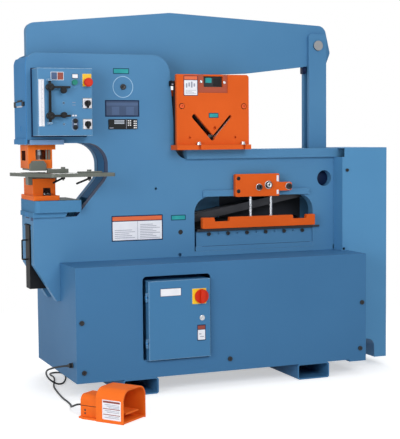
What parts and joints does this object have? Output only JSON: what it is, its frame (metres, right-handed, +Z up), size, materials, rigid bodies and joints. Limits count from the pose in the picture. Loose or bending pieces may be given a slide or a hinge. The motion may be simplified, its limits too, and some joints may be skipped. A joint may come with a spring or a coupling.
{
  "type": "ironworker machine",
  "caption": "Floor-standing steel-working machine with a punch station in a deep throat, an angle shear, a plate shear and a foot switch.",
  "frame": {"origin": "centre of the footprint on the floor, under the middle of the box round the machine and its foot switch", "axes": "+X along the machine from the punch station to the end cabinet, +Y from the operator side to the back, +Z up"},
  "size_m": [1.872, 1.1859, 1.7657],
  "materials": {
    "blue_paint": "gloss paint",
    "orange_paint": "gloss paint",
    "black_paint": "satin paint",
    "table_grey": "satin oxide",
    "tool_steel": "ground",
    "dark_steel": "oiled black",
    "bright_steel": "polished",
    "black_plastic": "moulded",
    "red_plastic": "moulded",
    "green_plastic": "moulded",
    "cord_rubber": "matt"
  },
  "bodies": {
    "machine": {"base_cabinet": "blue_paint", "fork_tubes": "blue_paint", "frame_front_plate": "blue_paint", "frame_rear_plate": "blue_paint", "throat_liner": "blue_paint", "head_end_cover": "blue_paint", "deck_plate": "blue_paint", "end_cabinet": "blue_paint", "bolster_block": "blue_paint", "die_holder": "orange_paint", "die": "tool_steel", "ram_guide": "blue_paint", "stripper_housing": "orange_paint", "stripper_plate": "dark_steel", "gauging_table": "table_grey", "angle_shear_cover": "orange_paint", "angle_shear_body": "orange_paint", "angle_lower_blades": "tool_steel", "hold_down_block": "orange_paint", "cap_screws": "dark_steel", "clamp_screws": "bright_steel", "lower_blade_holder": "blue_paint", "lower_blade": "dark_steel", "main_pivot_pin": "blue_paint", "shear_pivot_pin": "dark_steel", "control_box": "blue_paint", "electrical_enclosure": "blue_paint", "cable_glands": "black_plastic", "pedal_cord": "cord_rubber", "cylinder_body": "dark_steel", "pedal_base": "orange_paint", "pedal_hood": "orange_paint"},
    "beam": {"rocker_beam": "blue_paint", "link_pin_upper": "tool_steel"},
    "link": {"link_bars": "blue_paint"},
    "ram": {"punch_ram": "bright_steel", "punch_nut": "tool_steel", "punch": "tool_steel"},
    "carrier": {"angle_blade_carrier": "dark_steel"},
    "arm": {"shear_arm": "dark_steel", "upper_blade": "dark_steel"},
    "rod": {"cylinder_rod": "bright_steel", "link_pin_lower": "tool_steel"},
    "hold_down": {"hold_down_bar": "orange_paint", "jack_screws": "bright_steel"},
    "fence_rear": {"table_fence_rear": "table_grey"},
    "fence_front": {"table_fence_front": "table_grey"},
    "lever_rear": {"fence_lever_rear": "black_plastic"},
    "lever_front": {"fence_lever_front": "black_plastic"},
    "estop": {"estop_button": "red_plastic"},
    "start": {"start_button": "green_plastic"},
    "upper_selector": {"selector_upper": "black_plastic"},
    "lower_selector": {"selector_lower": "black_plastic"},
    "upper_trip": {"trip_arm_upper": "black_plastic"},
    "lower_trip": {"trip_arm_lower": "black_plastic"},
    "door": {"enclosure_door": "blue_paint"},
    "disconnect": {"disconnect_handle": "red_plastic"},
    "latch": {"door_latch": "bright_steel"},
    "bin": {"slug_bin": "black_paint"},
    "treadle": {"pedal_treadle": "orange_paint"}
  },
  "joints": [
    {"name": "beam_rock", "type": "hinge", "parent": "machine", "child": "beam", "pos_m": [-0.432, 0.271, 1.405], "axis": [0, 1, 0], "range_deg": [-4.5, 8.5]},
    {"name": "link_swing", "type": "hinge", "parent": "beam", "child": "link", "pos_m": [0.629, 0.271, 1.625], "axis": [0, 1, 0], "range_deg": [-6.5, 3.6]},
    {"name": "rod_slide", "type": "slide", "parent": "machine", "child": "rod", "axis": [0, 0, 1], "range_m": [-0.165, 0.09]},
    {"name": "ram_slide", "type": "slide", "parent": "machine", "child": "ram", "axis": [0, 0, 1], "range_m": [-0.032, 0.06]},
    {"name": "angle_carrier_slide", "type": "slide", "parent": "machine", "child": "carrier", "axis": [0, 0, 1], "range_m": [-0.066, 0.036]},
    {"name": "shear_arm_swing", "type": "hinge", "parent": "machine", "child": "arm", "pos_m": [-0.15, 0.271, 0.713], "axis": [0, 1, 0], "range_deg": [-6.5, 12]},
    {"name": "hold_down_slide", "type": "slide", "parent": "machine", "child": "hold_down", "axis": [0, 0, 1], "range_m": [0, 0.06]},
    {"name": "fence_rear_slide", "type": "slide", "parent": "machine", "child": "fence_rear", "axis": [1, 0, 0], "range_m": [-0.028, 0.005]},
    {"name": "fence_front_slide", "type": "slide", "parent": "machine", "child": "fence_front", "axis": [1, 0, 0], "range_m": [-0.028, 0.005]},
    {"name": "lever_rear_turn", "type": "hinge", "parent": "fence_rear", "child": "lever_rear", "pos_m": [-0.725, 0.167, 0.98], "axis": [0, 0, 1], "range_deg": [-30, 40]},
    {"name": "lever_front_turn", "type": "hinge", "parent": "fence_front", "child": "lever_front", "pos_m": [-0.64, 0.032, 0.98], "axis": [0, 0, 1], "range_deg": [-60, 60]},
    {"name": "estop_press", "type": "slide", "parent": "machine", "child": "estop", "axis": [0, 1, 0], "range_m": [0, 0.004], "stiffness_N_per_m": 900, "springref_m": -0.003},
    {"name": "start_press", "type": "slide", "parent": "machine", "child": "start", "axis": [0, 1, 0], "range_m": [0, 0.004], "stiffness_N_per_m": 500, "springref_m": -0.003},
    {"name": "upper_selector_turn", "type": "hinge", "parent": "machine", "child": "upper_selector", "pos_m": [-0.636, 0.05, 1.325], "axis": [0, 1, 0], "range_deg": [-45, 45]},
    {"name": "lower_selector_turn", "type": "hinge", "parent": "machine", "child": "lower_selector", "pos_m": [-0.636, 0.05, 1.231], "axis": [0, 1, 0], "range_deg": [-45, 45]},
    {"name": "upper_trip_slide", "type": "slide", "parent": "machine", "child": "upper_trip", "axis": [0, 0, 1], "range_m": [-0.05, 0.01]},
    {"name": "lower_trip_slide", "type": "slide", "parent": "machine", "child": "lower_trip", "axis": [0, 0, 1], "range_m": [-0.01, 0.03]},
    {"name": "door_swing", "type": "hinge", "parent": "machine", "child": "door", "pos_m": [-0.422, -0.109, 0.34], "axis": [0, 0, -1], "range_deg": [0, 110]},
    {"name": "disconnect_turn", "type": "hinge", "parent": "door", "child": "disconnect", "pos_m": [-0.16, -0.129, 0.439], "axis": [0, 1, 0], "range_deg": [0, 90]},
    {"name": "latch_turn", "type": "hinge", "parent": "door", "child": "latch", "pos_m": [-0.156, -0.123, 0.339], "axis": [0, 1, 0], "range_deg": [0, 90]},
    {"name": "bin_slide", "type": "slide", "parent": "machine", "child": "bin", "axis": [-1, 0, 0], "range_m": [0, 0.1]},
    {"name": "treadle_press", "type": "hinge", "parent": "machine", "child": "treadle", "pos_m": [-0.70247, -0.45036, 0.03], "axis": [0.7943, 0.6075, 0], "range_deg": [0, 8], "stiffness_Nm_per_rad": 4, "springref_deg": -11.46}
  ],
  "couplings": [
    {"joint": "link_swing", "follows": "beam_rock", "ratio": -0.73},
    {"joint": "rod_slide", "follows": "beam_rock", "m_per_rad": -1.061},
    {"joint": "ram_slide", "follows": "beam_rock", "m_per_rad": 0.384},
    {"joint": "angle_carrier_slide", "follows": "beam_rock", "m_per_rad": -0.428},
    {"joint": "shear_arm_swing", "follows": "beam_rock", "ratio": 1.36}
  ]
}
